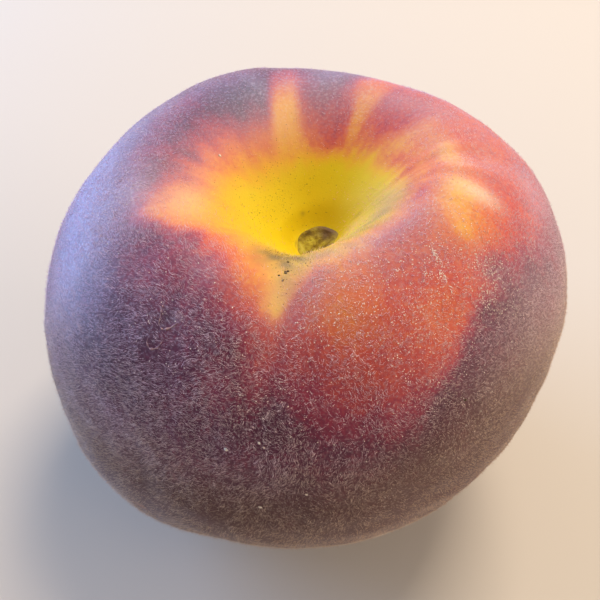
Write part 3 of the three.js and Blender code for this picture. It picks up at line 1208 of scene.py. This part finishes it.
SCUFFS = [
    [(46.9, -47.8), (48, -47.5), (49.6, -46.5), (51, -45.8)],
    [(50.6, -46), (51.2, -44.8), (51, -43.8), (49.9, -42.5), (48.4, -41.5), (47.5, -41.2)],
    [(53.9, -46.5), (55.1, -46.2), (55.8, -44.8), (55, -43.5), (53.9, -43), (52.6, -42.8)],
]
scuff_edges = ridge_piece("scuff_edges", SCUFFS, 0.28, "skin")

# %% Grain and scuff materials
# name, size of its patches in mm, two colours, roughness, IOR, pieces
DRY_THINGS = [
    # dried mould and cork crumbs: almost black brown, dull
    ("dry_cork_crumb", 0.8, (0.4, "#33240F"), (0.6, "#66501F"), 0.9, 1.45,
     (dark_grains, dark_spots)),
    # plant dust and torn down in a dried drop: chalky and pale
    ("dried_plant_dust", 1.0, (0.4, "#E0C4B4"), (0.6, "#F2E6D0"), 0.8, 1.5,
     (pale_grains, pale_flecks)),
    # lifted skin that dried out: papery, dull, a tan pink
    ("dried_lifted_cuticle", 0.6, (0.35, "#806070"), (0.65, "#B8908A"), 0.7, 1.45,
     (scuff_edges,)),
]  # fmt: skip

for name, patch_mm, low_stop, high_stop, roughness, ior, pieces in DRY_THINGS:
    dry_material, tree = new_material(name)
    place = add(tree, "ShaderNodeTexCoord").outputs["Object"]
    tones = add(tree, "ShaderNodeTexNoise", {"Vector": place, "Scale": across(patch_mm)})
    tone_ramp = add(tree, "ShaderNodeValToRGB", {"Fac": tones.outputs["Fac"]})
    stops(tone_ramp, low_stop, high_stop)
    dry_shader = add(
        tree,
        "ShaderNodeBsdfPrincipled",
        {"Base Color": tone_ramp.outputs["Color"], "Roughness": roughness, "IOR": ior},
    )
    wear(tree, dry_shader)
    for piece in pieces:
        piece.data.materials.append(dry_material)
    print(name, "is on", len(pieces), "pieces")

# %% [markdown]
# ## Floor and light
#
# The fruit stands on a plain pale floor, in soft studio light: a broad lamp behind it and to
# the right that lights the funnel and lays the shadow forward, a cool one on the left that
# edges the rim, and an even pale surround for the rest.

# %% Floor
FLOOR_HALF = 1.5
floor_corners = [(-1, -1, 0), (1, -1, 0), (1, 1, 0), (-1, 1, 0)]
floor_mesh = bpy.data.meshes.new("floor")
floor_mesh.from_pydata(FLOOR_HALF * np.array(floor_corners), [], [(0, 1, 2, 3)])
floor = bpy.data.objects.new("floor", floor_mesh)
bpy.context.scene.collection.objects.link(floor)
floor_paint, tree = new_material("matt_backdrop_card")
fills = {"Base Color": colour("#CDC2B2"), "Roughness": 0.9}
wear(tree, add(tree, "ShaderNodeBsdfPrincipled", fills))
floor_mesh.materials.append(floor_paint)
print("floor", 2 * FLOOR_HALF, "m wide")

# %% Lamps
MIDDLE = np.array([0.0, 0.0, 33.0]) * MM


def soft_lamp(name, azimuth, elevation, distance, size, power, tint):
    """A square lamp aimed at the fruit's middle from a named side, sizes in metres."""
    lamp = bpy.data.lights.new(name, "AREA")
    lamp.shape = "SQUARE"
    lamp.size = size
    lamp.energy = power
    lamp.color = colour(tint)[:3]
    holder = bpy.data.objects.new(name, lamp)
    out = directions(np.array(azimuth), np.array(elevation))
    holder.location = MIDDLE + out * distance
    holder.rotation_euler = (math.radians(90 - elevation), 0, math.radians(azimuth))
    bpy.context.scene.collection.objects.link(holder)
    return holder


soft_lamp("lamp_behind_right", 150, 58, 0.6, 0.25, 3.4, "#FFF1E2")
soft_lamp("lamp_left_cool", -116, 8, 0.6, 0.5, 10.0, "#94B8F4")
soft_lamp("lamp_right_warm", 78, 12, 0.7, 0.5, 3.8, "#FFE9D6")

world = bpy.data.worlds.new("pale_surround")
world.use_nodes = True
background = world.node_tree.nodes["Background"]
background.inputs["Color"].default_value = colour("#E0DEDE")
background.inputs["Strength"].default_value = 0.47
bpy.context.scene.world = world
bpy.context.scene.view_settings.view_transform = "Standard"
print("three lamps and a pale surround")
